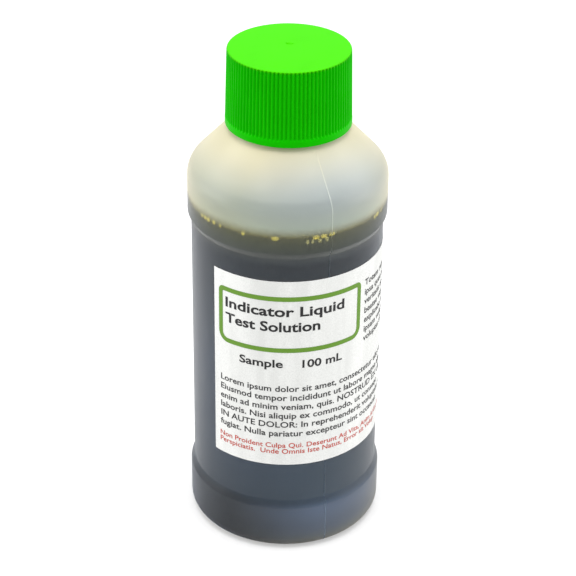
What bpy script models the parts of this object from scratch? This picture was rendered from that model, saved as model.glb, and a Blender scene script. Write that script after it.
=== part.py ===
"""A 100 mL squeeze dropper bottle: a blow-moulded bottle with a threaded neck, a press-in
dropper plug, a ribbed screw cap with its liner, a wrapped paper label and the solution inside.
Metres, +Z up, origin at the middle of the base. The front of the label faces -Y."""

import math

import bmesh
import bpy

MM = 0.001

# ---- Bottle body ----------------------------------------------------------------------------
BODY_RADIUS = 21.8 * MM  # the two bumper bands and the shoulder
WALL = 1.1 * MM  # blow-moulded wall
PANEL_DEPTH = 0.8 * MM  # how far the label panel is set in from the bumpers
LOWER_BUMPER_HEIGHT = 12.2 * MM
PANEL_HEIGHT = 63.3 * MM
UPPER_BUMPER_HEIGHT = 9.8 * MM
LOWER_STEP_HEIGHT = 2.2 * MM  # soft step from the lower bumper up into the panel
UPPER_STEP_HEIGHT = 1.0 * MM  # crisper step from the panel up to the upper bumper
SHOULDER_RADIUS = 5.1 * MM  # round between the upright wall and the shoulder cone
SHOULDER_LEAN = math.radians(43.0)  # the cone's lean in from upright
HEEL_RADIUS = 2.4 * MM
STANDING_RING_WIDTH = 3.6 * MM
PUSH_UP_HEIGHT = 1.8 * MM

# ---- Neck and its thread --------------------------------------------------------------------
NECK_RADIUS = 10.8 * MM  # root of the neck thread
NECK_WALL = 2.0 * MM
NECK_FILLET = 1.0 * MM
LIP_CHAMFER = 0.4 * MM
THREAD_PITCH = 3.175 * MM  # eight threads to the inch
THREAD_DEPTH = 1.1 * MM
THREAD_ROOT_WIDTH = 1.9 * MM
THREAD_CREST_WIDTH = 0.8 * MM
NECK_THREAD_TURNS = 1.5
THREAD_DROP = 2.9 * MM  # lip down to the middle of the thread's upper end

# ---- Cap and liner --------------------------------------------------------------------------
CAP_HEIGHT = 16.8 * MM
CAP_TOP_THICKNESS = 1.3 * MM
CAP_WALL = 0.95 * MM  # at the top of the skirt, ribs included
CAP_TAPER = 0.2 * MM  # how much the ribbed skirt widens on its way down
CAP_EDGE_RADIUS = 0.6 * MM
RIB_COUNT = 96
RIB_DEPTH = 0.35 * MM
RIB_TOP_MARGIN = 1.0 * MM  # smooth rim above the ribs
BAND_HEIGHT = 1.8 * MM  # smooth band below the ribs
BAND_PROUD = 0.15 * MM
LEAD_IN_DEPTH = 1.5 * MM  # wider mouth of the skirt, below the thread
LEAD_IN_WIDTH = 0.4 * MM
CAP_THREAD_TURNS = 1.25
CAP_THREAD_ROOT_WIDTH = 1.6 * MM
CAP_THREAD_CREST_WIDTH = 0.5 * MM
LINER_THICKNESS = 0.9 * MM

# ---- Dropper plug ---------------------------------------------------------------------------
FLANGE_THICKNESS = 0.8 * MM
FLANGE_MARGIN = 0.5 * MM  # lip showing outside the flange
PLUG_LENGTH = 6.5 * MM  # below the flange
PLUG_WALL = 1.0 * MM
PLUG_FLOOR = 1.2 * MM
BEAD_HEIGHT = 0.25 * MM  # two sealing beads that grip the bore
BEAD_WIDTH = 1.0 * MM
NOZZLE_BASE_RADIUS = 2.5 * MM
NOZZLE_TIP_RADIUS = 1.4 * MM
NOZZLE_RECESS = 0.4 * MM  # tip below the flange's top
ORIFICE_RADIUS = 0.5 * MM
DRIP_TUBE_RADIUS = 1.5 * MM
ORIFICE_LENGTH = 1.6 * MM

# ---- Label and solution ---------------------------------------------------------------------
LABEL_WIDTH = 90.0 * MM  # along the wrap
LABEL_THICKNESS = 0.15 * MM
LABEL_LOWER_MARGIN = 10.8 * MM  # panel showing below the label
LABEL_UPPER_MARGIN = 5.5 * MM  # panel showing above the label
LABEL_START = math.radians(-50.0)  # left edge, turned from the front towards +X
FILL_DROP = 4.3 * MM  # solution's surface below the start of the shoulder

# ---- Clearances -----------------------------------------------------------------------------
SEAT_GAP = 0.2 * MM  # between faces that rest on each other
SKIN_GAP = 0.15 * MM  # label to panel
FLUID_GAP = 0.3 * MM  # solution to the inside wall
PLUG_GAP = 0.4 * MM  # plug wall to the bore, which the beads bridge
BEAD_GAP = 0.15 * MM  # bead to the bore
THREAD_RADIAL_GAP = 0.4 * MM  # thread crest to the cap's wall
CREST_GAP = 0.25 * MM  # cap thread crest to the neck's wall
SKIRT_GAP = 0.6 * MM  # cap's lower edge above the shoulder
LINER_SIDE_GAP = 0.3 * MM
THREAD_SINK = 0.25 * MM  # how far a thread's root is buried in its wall

# ---- Facets ---------------------------------------------------------------------------------
BODY_STEPS = 60
CAVITY_STEPS = 60
SMALL_STEPS = 48
THREAD_STEPS_PER_TURN = 30
SHARP_ANGLE = math.radians(32.0)

# ---- Places worked out from the sizes above -------------------------------------------------
PANEL_RADIUS = BODY_RADIUS - PANEL_DEPTH
PANEL_BOTTOM_Z = LOWER_BUMPER_HEIGHT
PANEL_TOP_Z = PANEL_BOTTOM_Z + PANEL_HEIGHT
SHOULDER_Z = PANEL_TOP_Z + UPPER_BUMPER_HEIGHT
FILL_Z = SHOULDER_Z - FILL_DROP
BORE_RADIUS = NECK_RADIUS - NECK_WALL
CAP_BORE_RADIUS = NECK_RADIUS + THREAD_DEPTH + THREAD_RADIAL_GAP
CAP_TOP_RADIUS = CAP_BORE_RADIUS + CAP_WALL


def cone_z(radius, inset):
    """Height of the shoulder cone at a radius, on the surface `inset` inside the outer one."""
    arc_radius = SHOULDER_RADIUS - inset
    end_radius = BODY_RADIUS - SHOULDER_RADIUS + arc_radius * math.cos(SHOULDER_LEAN)
    end_z = SHOULDER_Z + arc_radius * math.sin(SHOULDER_LEAN)
    return end_z + (end_radius - radius) / math.tan(SHOULDER_LEAN)


CAP_BOTTOM_Z = cone_z(CAP_BORE_RADIUS + LEAD_IN_WIDTH, 0.0) + SKIRT_GAP
CAP_TOP_Z = CAP_BOTTOM_Z + CAP_HEIGHT
CAP_UNDERSIDE_Z = CAP_TOP_Z - CAP_TOP_THICKNESS
LINER_TOP_Z = CAP_UNDERSIDE_Z - SEAT_GAP
LINER_BOTTOM_Z = LINER_TOP_Z - LINER_THICKNESS
FLANGE_TOP_Z = LINER_BOTTOM_Z - SEAT_GAP
FLANGE_BOTTOM_Z = FLANGE_TOP_Z - FLANGE_THICKNESS
LIP_Z = FLANGE_BOTTOM_Z - SEAT_GAP
NECK_THREAD_TOP_Z = LIP_Z - THREAD_DROP
NECK_THREAD_START_Z = NECK_THREAD_TOP_Z - NECK_THREAD_TURNS * THREAD_PITCH
CAP_THREAD_START_Z = NECK_THREAD_START_Z - THREAD_PITCH / 2


def clear_scene():
    for obj in list(bpy.data.objects):
        bpy.data.objects.remove(obj, do_unlink=True)


def make_collection(name):
    collection = bpy.data.collections.new(name)
    bpy.context.scene.collection.children.link(collection)
    return collection


def make_material(name, colour, roughness, alpha=1.0, metallic=0.0):
    material = bpy.data.materials.new(name)
    material.use_nodes = True
    shader = material.node_tree.nodes["Principled BSDF"]
    shader.inputs["Base Color"].default_value = (*colour, 1.0)
    shader.inputs["Roughness"].default_value = roughness
    shader.inputs["Metallic"].default_value = metallic
    shader.inputs["Alpha"].default_value = alpha
    return material


def arc(centre_r, centre_z, radius, start_deg, end_deg, steps):
    """Points (r, z) along an arc, both ends included."""
    points = []
    for step in range(steps + 1):
        angle = math.radians(start_deg + (end_deg - start_deg) * step / steps)
        points.append((centre_r + radius * math.cos(angle), centre_z + radius * math.sin(angle)))
    return points


def soft_step(top_radius, top_z, bottom_radius, bottom_z, steps):
    """Points down an S-shaped step between two upright walls, both ends included."""
    points = []
    for step in range(steps + 1):
        share = step / steps
        ease = (1 - math.cos(math.pi * share)) / 2
        points.append((
            top_radius + (bottom_radius - top_radius) * ease,
            top_z + (bottom_z - top_z) * share,
        ))
    return points


def turned(name, profile, steps, collection, material=None, closed=False, sweep=2 * math.pi):
    """A profile of (r, z) points swept about Z by a Screw modifier."""
    mesh = bpy.data.meshes.new(name)
    vertices = [(r, 0.0, z) for r, z in profile]
    edges = [(i, i + 1) for i in range(len(profile) - 1)]
    if closed:
        edges.append((len(profile) - 1, 0))
    mesh.from_pydata(vertices, edges, [])
    obj = bpy.data.objects.new(name, mesh)
    collection.objects.link(obj)
    screw = obj.modifiers.new("Turn", "SCREW")
    screw.axis = "Z"
    screw.angle = sweep
    screw.steps = steps
    screw.render_steps = steps
    screw.use_merge_vertices = True
    screw.merge_threshold = 0.00001
    if material:
        obj.data.materials.append(material)
    return obj


def apply_modifiers(obj):
    """The evaluated mesh becomes the object's own, smooth with its real edges sharp."""
    bpy.context.view_layer.update()
    evaluated = obj.evaluated_get(bpy.context.evaluated_depsgraph_get())
    mesh = bpy.data.meshes.new_from_object(evaluated)
    obj.modifiers.clear()
    obj.data = mesh
    mesh.name = obj.name
    mesh.shade_smooth()
    mesh.set_sharp_from_angle(angle=SHARP_ANGLE)


def as_helper(obj):
    obj.hide_render = True
    obj.display_type = "WIRE"


def combine(obj, helper, operation):
    """Boolean with a helper solid, which stays in the file as a guide."""
    as_helper(helper)
    boolean = obj.modifiers.new(helper.name, "BOOLEAN")
    boolean.operation = operation
    boolean.solver = "EXACT"
    boolean.object = helper


def thread_ridge(name, wall_radius, crest_radius, root_width, crest_width, start_z, turns, helpers):
    """A helical ridge of trapezium section whose ends fade into the wall."""
    outward = 1 if crest_radius > wall_radius else -1
    root_radius = wall_radius - outward * THREAD_SINK
    steps = round(THREAD_STEPS_PER_TURN * turns)
    bm = bmesh.new()
    section = [
        bm.verts.new((root_radius, 0.0, start_z - root_width / 2)),
        bm.verts.new((crest_radius, 0.0, start_z - crest_width / 2)),
        bm.verts.new((crest_radius, 0.0, start_z + crest_width / 2)),
        bm.verts.new((root_radius, 0.0, start_z + root_width / 2)),
    ]
    face = bm.faces.new(section)
    bmesh.ops.spin(
        bm,
        geom=[face, *face.edges, *face.verts],
        cent=(0.0, 0.0, 0.0),
        axis=(0.0, 0.0, 1.0),
        dvec=(0.0, 0.0, THREAD_PITCH * turns / steps),
        angle=2 * math.pi * turns,
        steps=steps,
    )
    fade = 0.25  # turns over which an end sinks away
    buried_radius = wall_radius - outward * THREAD_SINK / 2
    for vertex in bm.verts:
        radius = math.hypot(vertex.co.x, vertex.co.y)
        if abs(radius - crest_radius) > abs(radius - root_radius):
            continue
        part_turn = math.atan2(vertex.co.y, vertex.co.x) / (2 * math.pi)
        climbed = (vertex.co.z - start_z) / THREAD_PITCH
        turn = part_turn + round(climbed - part_turn)
        share = min(1.0, max(0.0, min(turn, turns - turn) / fade))
        ease = math.sin(share * math.pi / 2)
        new_radius = buried_radius + (crest_radius - buried_radius) * ease
        vertex.co.x *= new_radius / radius
        vertex.co.y *= new_radius / radius
    bmesh.ops.recalc_face_normals(bm, faces=bm.faces[:])
    mesh = bpy.data.meshes.new(name)
    bm.to_mesh(mesh)
    bm.free()
    ridge = bpy.data.objects.new(name, mesh)
    helpers.objects.link(ridge)
    return ridge


def wall_outline(inset):
    """The body's upright wall from the shoulder down to the heel, `inset` inside the outside."""
    bumper = BODY_RADIUS - inset
    panel = PANEL_RADIUS - inset
    centre_r = BODY_RADIUS - SHOULDER_RADIUS
    lean = math.degrees(SHOULDER_LEAN)
    points = arc(centre_r, SHOULDER_Z, SHOULDER_RADIUS - inset, lean, 0.0, 5)
    points += soft_step(bumper, PANEL_TOP_Z + UPPER_STEP_HEIGHT, panel, PANEL_TOP_Z, 3)
    points += soft_step(
        panel, PANEL_BOTTOM_Z + LOWER_STEP_HEIGHT / 2,
        bumper, PANEL_BOTTOM_Z - LOWER_STEP_HEIGHT / 2, 4,
    )
    return points


def base_outline(inset):
    """The heel, the standing ring and the push-up under the base, out to in."""
    centre_r = BODY_RADIUS - HEEL_RADIUS
    ring_inner = centre_r - STANDING_RING_WIDTH
    points = arc(centre_r, HEEL_RADIUS, HEEL_RADIUS - inset, 0.0, -90.0, 4)
    points += [
        (ring_inner, inset),
        (ring_inner * 0.85, inset + PUSH_UP_HEIGHT * 0.6),
        (ring_inner * 0.5, inset + PUSH_UP_HEIGHT * 0.92),
        (0.0, inset + PUSH_UP_HEIGHT),
    ]
    return points


def neck_outline():
    """The neck from its lip down to where its fillet meets the shoulder cone."""
    lean = math.degrees(SHOULDER_LEAN)
    touch_r = NECK_RADIUS + NECK_FILLET * (1 - math.cos(SHOULDER_LEAN))
    centre_z = cone_z(touch_r, 0.0) + NECK_FILLET * math.sin(SHOULDER_LEAN)
    points = [(NECK_RADIUS - LIP_CHAMFER, LIP_Z), (NECK_RADIUS, LIP_Z - LIP_CHAMFER)]
    points += arc(NECK_RADIUS + NECK_FILLET, centre_z, NECK_FILLET, 180.0, 180.0 + lean, 3)
    return points


def make_bottle(collection, helpers):
    outside = neck_outline() + wall_outline(0.0) + base_outline(0.0)
    inside = wall_outline(WALL) + base_outline(WALL)
    bore = [(BORE_RADIUS, LIP_Z), (BORE_RADIUS, cone_z(BORE_RADIUS, WALL))]
    profile = (bore + inside)[::-1] + outside
    material = make_material("natural_polyethylene", (0.80, 0.81, 0.76), 0.38, alpha=0.45)
    bottle = turned("bottle", profile, BODY_STEPS, collection, material)
    thread = thread_ridge(
        "neck_thread_form", NECK_RADIUS, NECK_RADIUS + THREAD_DEPTH,
        THREAD_ROOT_WIDTH, THREAD_CREST_WIDTH, NECK_THREAD_START_Z, NECK_THREAD_TURNS, helpers,
    )
    combine(bottle, thread, "UNION")
    apply_modifiers(bottle)
    return bottle


def make_solution(collection):
    """The liquid, as the solid that fills the body up to its surface."""
    inset = WALL + FLUID_GAP
    wall = [(r, z) for r, z in wall_outline(inset) if z < FILL_Z]
    profile = [(0.0, FILL_Z), (BODY_RADIUS - inset, FILL_Z)] + wall + base_outline(inset)
    material = make_material("indicator_solution", (0.012, 0.020, 0.040), 0.10)
    solution = turned("solution", profile, SMALL_STEPS, collection, material)
    apply_modifiers(solution)
    return solution


def make_label(collection):
    """A thin sheet wrapped on the panel, open at the back."""
    radius = PANEL_RADIUS + SKIN_GAP
    bottom_z = PANEL_BOTTOM_Z + LABEL_LOWER_MARGIN
    top_z = PANEL_TOP_Z - LABEL_UPPER_MARGIN
    wrap = LABEL_WIDTH / radius
    material = make_material("coated_paper", (0.80, 0.81, 0.82), 0.45)
    steps = round(BODY_STEPS * wrap / (2 * math.pi))
    label = turned(
        "label", [(radius, top_z), (radius, bottom_z)], steps, collection, material, sweep=wrap
    )
    label.rotation_euler.z = LABEL_START - math.pi / 2
    shell = label.modifiers.new("Thickness", "SOLIDIFY")
    shell.thickness = LABEL_THICKNESS
    shell.offset = 1.0
    apply_modifiers(label)
    return label


def make_dropper_plug(collection):
    """Press-in plug: a flange on the lip, a cup in the bore and a nozzle standing in the cup."""
    wall_r = BORE_RADIUS - PLUG_GAP
    bead_r = BORE_RADIUS - BEAD_GAP
    cup_r = wall_r - PLUG_WALL
    bottom_z = FLANGE_BOTTOM_Z - PLUG_LENGTH
    floor_z = bottom_z + PLUG_FLOOR
    tip_z = FLANGE_TOP_Z - NOZZLE_RECESS
    profile = [(cup_r, FLANGE_TOP_Z), (NECK_RADIUS - FLANGE_MARGIN, FLANGE_TOP_Z)]
    profile += [(NECK_RADIUS - FLANGE_MARGIN, FLANGE_BOTTOM_Z), (wall_r, FLANGE_BOTTOM_Z)]
    for share in (0.3, 0.65):
        bead_z = FLANGE_BOTTOM_Z - PLUG_LENGTH * share
        profile += [(wall_r, bead_z + BEAD_WIDTH / 2), (bead_r, bead_z), (wall_r, bead_z - BEAD_WIDTH / 2)]
    profile += [
        (wall_r, bottom_z + BEAD_WIDTH),
        (wall_r - BEAD_HEIGHT, bottom_z),
        (DRIP_TUBE_RADIUS, bottom_z),
        (ORIFICE_RADIUS, tip_z - ORIFICE_LENGTH),
        (ORIFICE_RADIUS, tip_z),
        (NOZZLE_TIP_RADIUS, tip_z),
        (NOZZLE_BASE_RADIUS, floor_z),
        (cup_r, floor_z),
    ]
    material = make_material("low_density_polyethylene", (0.82, 0.84, 0.84), 0.30)
    plug = turned("dropper_plug", profile, SMALL_STEPS, collection, material, closed=True)
    apply_modifiers(plug)
    return plug


def make_liner(collection):
    radius = CAP_BORE_RADIUS - LINER_SIDE_GAP
    profile = [(0.0, LINER_TOP_Z), (radius, LINER_TOP_Z), (radius, LINER_BOTTOM_Z), (0.0, LINER_BOTTOM_Z)]
    material = make_material("foamed_polyethylene", (0.86, 0.86, 0.84), 0.70)
    liner = turned("cap_liner", profile, SMALL_STEPS, collection, material)
    apply_modifiers(liner)
    return liner


def cut_ribs(cap, rib_top_z, rib_bottom_z):
    """Every other column of the skirt between the rims is drawn in, which leaves the ribs."""
    column = math.pi / RIB_COUNT
    for vertex in cap.data.vertices:
        radius = math.hypot(vertex.co.x, vertex.co.y)
        on_skirt = rib_bottom_z - MM / 100 < vertex.co.z < rib_top_z + MM / 100
        if not on_skirt or radius < CAP_BORE_RADIUS:
            continue
        place = round(math.atan2(vertex.co.y, vertex.co.x) / column)
        if place % 2:
            vertex.co.x *= (radius - RIB_DEPTH) / radius
            vertex.co.y *= (radius - RIB_DEPTH) / radius


def make_cap(collection, helpers):
    """Ribbed skirt and top, hollowed by its bore, with the thread ridge joined on inside."""
    rib_top_z = CAP_TOP_Z - RIB_TOP_MARGIN
    rib_bottom_z = CAP_BOTTOM_Z + BAND_HEIGHT
    skirt_bottom_radius = CAP_TOP_RADIUS + CAP_TAPER
    band_radius = skirt_bottom_radius + BAND_PROUD
    edge_end = CAP_TOP_RADIUS - RIB_DEPTH / 2
    profile = [(0.0, CAP_TOP_Z)]
    profile += arc(edge_end - CAP_EDGE_RADIUS, CAP_TOP_Z - CAP_EDGE_RADIUS, CAP_EDGE_RADIUS, 90.0, 0.0, 3)
    profile += [
        (CAP_TOP_RADIUS, rib_top_z),
        (skirt_bottom_radius, rib_bottom_z),
        (band_radius, rib_bottom_z - BAND_PROUD),
        (band_radius, CAP_BOTTOM_Z),
        (0.0, CAP_BOTTOM_Z),
    ]
    material = make_material("green_polypropylene", (0.02, 0.60, 0.008), 0.35)
    cap = turned("cap", profile, 2 * RIB_COUNT, collection, material)
    apply_modifiers(cap)
    cut_ribs(cap, rib_top_z, rib_bottom_z)
    lead_in_z = CAP_BOTTOM_Z + LEAD_IN_DEPTH
    cavity_profile = [
        (0.0, CAP_UNDERSIDE_Z),
        (CAP_BORE_RADIUS, CAP_UNDERSIDE_Z),
        (CAP_BORE_RADIUS, lead_in_z),
        (CAP_BORE_RADIUS + LEAD_IN_WIDTH, lead_in_z - LEAD_IN_WIDTH),
        (CAP_BORE_RADIUS + LEAD_IN_WIDTH, CAP_BOTTOM_Z - MM),
        (0.0, CAP_BOTTOM_Z - MM),
    ]
    cavity = turned("cap_cavity_form", cavity_profile, CAVITY_STEPS, helpers)
    combine(cap, cavity, "DIFFERENCE")
    thread = thread_ridge(
        "cap_thread_form", CAP_BORE_RADIUS, NECK_RADIUS + CREST_GAP,
        CAP_THREAD_ROOT_WIDTH, CAP_THREAD_CREST_WIDTH, CAP_THREAD_START_Z, CAP_THREAD_TURNS, helpers,
    )
    combine(cap, thread, "UNION")
    apply_modifiers(cap)
    return cap


def main():
    clear_scene()
    parts = make_collection("dropper_bottle")
    helpers = make_collection("dropper_bottle_cutters")
    make_bottle(parts, helpers)
    make_solution(parts)
    make_label(parts)
    make_dropper_plug(parts)
    make_liner(parts)
    make_cap(parts, helpers)


main()
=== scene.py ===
import math
import random

import bmesh
import bpy
from mathutils import Matrix, Vector, noise


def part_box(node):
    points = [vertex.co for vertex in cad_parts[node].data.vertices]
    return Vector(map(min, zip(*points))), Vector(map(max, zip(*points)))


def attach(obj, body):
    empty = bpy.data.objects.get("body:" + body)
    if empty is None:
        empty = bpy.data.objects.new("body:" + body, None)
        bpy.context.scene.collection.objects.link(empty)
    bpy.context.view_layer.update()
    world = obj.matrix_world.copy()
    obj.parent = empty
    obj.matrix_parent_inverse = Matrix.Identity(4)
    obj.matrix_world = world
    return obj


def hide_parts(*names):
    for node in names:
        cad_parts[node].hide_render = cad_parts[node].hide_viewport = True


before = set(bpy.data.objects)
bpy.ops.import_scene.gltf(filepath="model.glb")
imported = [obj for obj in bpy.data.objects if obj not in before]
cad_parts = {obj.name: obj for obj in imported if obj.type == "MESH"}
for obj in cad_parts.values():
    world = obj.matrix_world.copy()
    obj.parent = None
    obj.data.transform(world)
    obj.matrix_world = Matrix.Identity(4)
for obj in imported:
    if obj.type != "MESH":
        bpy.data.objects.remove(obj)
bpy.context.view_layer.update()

mm = 0.001
scene = bpy.context.scene
random.seed(24410)

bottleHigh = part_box("bottle")[1]
capLow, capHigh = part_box("cap")
plugLow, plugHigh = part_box("dropper_plug")
linerLow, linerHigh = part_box("cap_liner")
labelLow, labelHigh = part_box("label")
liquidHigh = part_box("solution")[1]
bodyRadius = bottleHigh.x
lipHeight = bottleHigh.z
fillHeight = liquidHigh.z
weldReach = 1e-6
print("frame loaded, bottle", round(bodyRadius / mm, 2), "mm radius, lip at", round(lipHeight / mm, 2))


def paint(code):
    # sRGB hex to the linear colour the shaders take
    parts = [int(code[i:i + 2], 16) / 255 for i in (1, 3, 5)]
    return tuple(p / 12.92 if p <= 0.04045 else ((p + 0.055) / 1.055) ** 2.4 for p in parts) + (1.0,)


def addNode(tree, kind, settings=None, links=None):
    # settings go to the node's own properties first, and otherwise to its sockets
    node = tree.nodes.new(kind)
    for key, value in (settings or {}).items():
        if isinstance(key, str) and key in node.bl_rna.properties:
            setattr(node, key, value)
        else:
            node.inputs[key].default_value = value
    for key, source in (links or {}).items():
        tree.links.new(source, node.inputs[key])
    return node


def newMaterial(name):
    # an empty material, and the object's own coordinates to lay its patterns on
    material = bpy.data.materials.new(name)
    material.use_nodes = True
    tree = material.node_tree
    tree.nodes.clear()
    return material, tree, addNode(tree, "ShaderNodeTexCoord").outputs["Object"]


def setSurface(tree, shader):
    addNode(tree, "ShaderNodeOutputMaterial", links={0: shader.outputs[0]})


def noiseNode(tree, place, size, detail):
    # size is about the width of one blotch
    settings = {"Scale": 1 / size, "Detail": detail}
    return addNode(tree, "ShaderNodeTexNoise", settings, {"Vector": place}).outputs["Fac"]


def rangeNode(tree, value, ends, reach=(0.0, 1.0)):
    settings = {"From Min": reach[0], "From Max": reach[1], "To Min": ends[0], "To Max": ends[1]}
    return addNode(tree, "ShaderNodeMapRange", settings, {"Value": value}).outputs[0]


def blendNode(tree, share, first, second):
    settings = {"data_type": "RGBA", 6: paint(first), 7: paint(second)}
    return addNode(tree, "ShaderNodeMix", settings, {0: share}).outputs[2]


def bumpNode(tree, height, strength, distance):
    settings = {"Strength": strength, "Distance": distance}
    return addNode(tree, "ShaderNodeBump", settings, {"Height": height}).outputs[0]


def heightRamp(tree, place, stops):
    # a ramp over height: stops are (height in mm, colour) or (height, colour, a share kept in the alpha)
    low, high = stops[0][0] * mm, stops[-1][0] * mm
    height = addNode(tree, "ShaderNodeSeparateXYZ", links={0: place}).outputs["Z"]
    along = addNode(tree, "ShaderNodeMapRange", {"From Min": low, "From Max": high}, {"Value": height})
    ramp = addNode(tree, "ShaderNodeValToRGB", links={0: along.outputs[0]})
    marks = ramp.color_ramp.elements
    while len(marks) < len(stops):
        marks.new(0.5)
    for mark, stop in zip(marks, stops):
        mark.position = (stop[0] * mm - low) / (high - low)
    for mark, (_, colour, *share) in zip(marks, stops):
        mark.color = paint(colour)[:3] + (share[0] if share else 1.0,)
    return ramp.outputs["Color"], ramp.outputs["Alpha"]


def roundedOutline(corners, closed=False, arcStep=9.0):
    # corners are (radius, height, bend): every corner with a bend becomes an arc of that radius
    points = []
    count = len(corners)
    for i, (r, z, bend) in enumerate(corners):
        here = Vector((r, z))
        if bend == 0 or (not closed and i in (0, count - 1)):
            points.append(here)
            continue
        back = (Vector(corners[i - 1][:2]) - here).normalized()
        ahead = (Vector(corners[(i + 1) % count][:2]) - here).normalized()
        turn = math.pi - back.angle(ahead)
        centre = here + (back + ahead).normalized() * (bend / math.cos(turn / 2))
        arm = here + back * bend * math.tan(turn / 2) - centre
        side = 1 if back.x * ahead.y - back.y * ahead.x < 0 else -1
        steps = max(2, math.ceil(math.degrees(turn) / arcStep))
        for s in range(steps + 1):
            points.append(centre + Matrix.Rotation(side * turn * s / steps, 2) @ arm)
    return points


def spinOutline(points, steps, closed=False, turns=1.0):
    # a wire in the XZ plane swept about the bottle's axis
    bm = bmesh.new()
    verts = [bm.verts.new((p.x, 0.0, p.y)) for p in points]
    pairs = list(zip(verts, verts[1:]))
    if closed:
        pairs.append((verts[-1], verts[0]))
    edges = [bm.edges.new(pair) for pair in pairs]
    bmesh.ops.spin(
        bm, geom=verts + edges, cent=(0, 0, 0), axis=(0, 0, 1),
        angle=2 * math.pi * turns, steps=steps, use_merge=turns == 1.0, use_duplicate=False,
    )
    bmesh.ops.remove_doubles(bm, verts=bm.verts[:], dist=weldReach)
    bmesh.ops.recalc_face_normals(bm, faces=bm.faces[:])
    return bm


def addPiece(bm, name, material, body, stands=(), sharpAngle=34):
    mesh = bpy.data.meshes.new(name)
    bm.to_mesh(mesh)
    bm.free()
    mesh.shade_smooth()
    mesh.set_sharp_from_angle(angle=math.radians(sharpAngle))
    for one in material if isinstance(material, (list, tuple)) else [material]:
        mesh.materials.append(one)
    piece = bpy.data.objects.new(name, mesh)
    scene.collection.objects.link(piece)
    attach(piece, body)
    if stands:
        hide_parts(*stands)
    return piece


def wrapPoint(along, height, radius):
    # along is measured round the wall from the front, towards +X
    angle = along / radius
    return Vector((radius * math.sin(angle), -radius * math.cos(angle), height))


wallLook = {
    "roughness": 0.32, "ior": 1.5, "through": "#fbf3d2", "clearGloss": 0.4,
    # the side the key light comes from, and the reach over which the wall is painted lighter and milkier
    # towards it: painted light and shade
    "keyLightSide": 40.0, "keyLightReach": (0.3, 0.95),
    "cloudSize": 14.0, "cloudReach": (0.3, 0.7), "cloudShare": (0.93, 1.07),
    # height in mm, the colour scattered back, and how milky the wall is there. Both ramps hold painted light
    # and shade: a painted dark line on the lower step at 12.3 mm with a lighter band below it, a painted
    # light line on the upper step at 75.9 mm, and cream towards the neck where the light comes in from above
    "milkLitRight": [
        (0.0, "#9ca09c", 0.27), (2.6, "#9caab4", 0.24), (4.8, "#94b2dc", 0.18), (10.3, "#8cb2e8", 0.22),
        (11.4, "#88b0e4", 0.16), (12.3, "#78a4d4", 0.09), (13.6, "#6ea0cc", 0.12), (22.0, "#6ea0cc", 0.12),
        (45.0, "#76a0c8", 0.09), (73.5, "#789cbc", 0.04), (75.9, "#a4b0b0", 0.15), (77.0, "#94a8a0", 0.07),
        (80.8, "#a0a67c", 0.08), (81.7, "#b0bca8", 0.42), (83.0, "#b4c8c0", 0.60), (86.0, "#aebec0", 0.61),
        (88.0, "#a2b0b6", 0.58), (90.5, "#b0bcc2", 0.68), (93.5, "#bec4c2", 0.80), (97.5, "#d0ceb8", 0.86),
        (111.0, "#d8d4bc", 0.85),
    ],
    "milkShadedLeft": [
        (0.0, "#8c8c88", 0.01), (4.0, "#8c98a4", 0.02), (10.3, "#8ca0bc", 0.03), (11.4, "#8ca0bc", 0.02),
        (12.3, "#78a4d4", 0.01), (13.6, "#6ea0cc", 0.08), (22.0, "#6c9ed2", 0.10), (45.0, "#6898d0", 0.11),
        (73.5, "#789cbc", 0.05), (75.9, "#a4b0a8", 0.12), (77.0, "#94a8a0", 0.08), (80.8, "#a0a670", 0.08),
        (81.7, "#b0b890", 0.40), (83.0, "#b8c6b0", 0.58), (86.0, "#b2c0b4", 0.58), (88.0, "#a4b0a6", 0.57),
        (90.5, "#bcc0b0", 0.68), (93.5, "#cac6ac", 0.80), (97.5, "#d8cfac", 0.86), (111.0, "#d8d4bc", 0.85),
    ],
    # colour, weight, roughness
    "clearSheen": ("#a8c8f8", 0.12, 0.5), "milkySheen": ("#fff0cc", 1.0, 0.62),
}


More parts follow.
